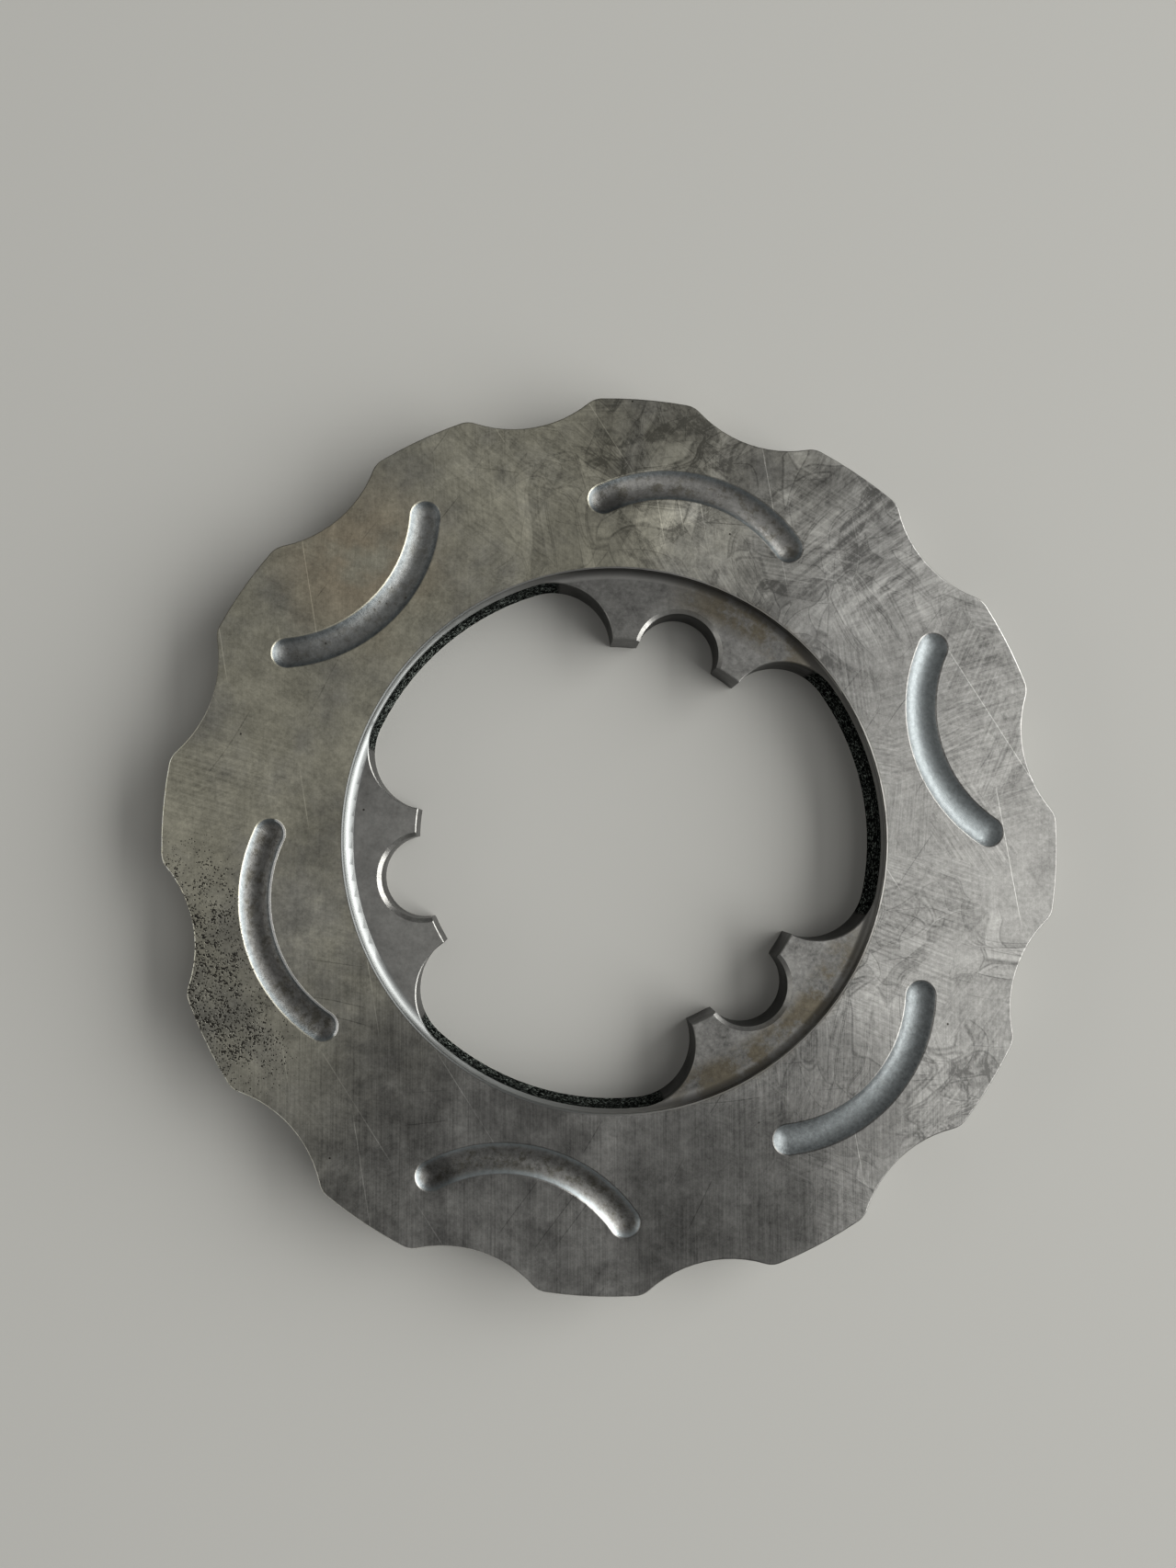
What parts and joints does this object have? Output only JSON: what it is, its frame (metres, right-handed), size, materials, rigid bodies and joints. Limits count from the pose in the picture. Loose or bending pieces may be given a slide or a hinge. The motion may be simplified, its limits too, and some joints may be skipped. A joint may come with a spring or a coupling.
{
  "type": "brake disc rotor",
  "caption": "Flat steel brake rotor for a floating mounting, with a wavy rim, curved shallow grooves, and inward lugs with half-round drive notches in a turned recess.",
  "frame": {"origin": "on the disc's axis, at the height of the underside", "axes": "+Z along the disc's axis towards the recessed face; +Y through the middle of the first drive lug"},
  "size_m": [0.1974, 0.1974, 0.013],
  "materials": {
    "ground_steel": "ground steel with scratches and light stains",
    "turned_steel": "fine turned steel, slightly darker"
  },
  "bodies": {
    "root": {"friction_ring": "ground_steel", "drive_lug_1": "turned_steel", "drive_lug_2": "turned_steel", "drive_lug_3": "turned_steel"}
  },
  "joints": []
}
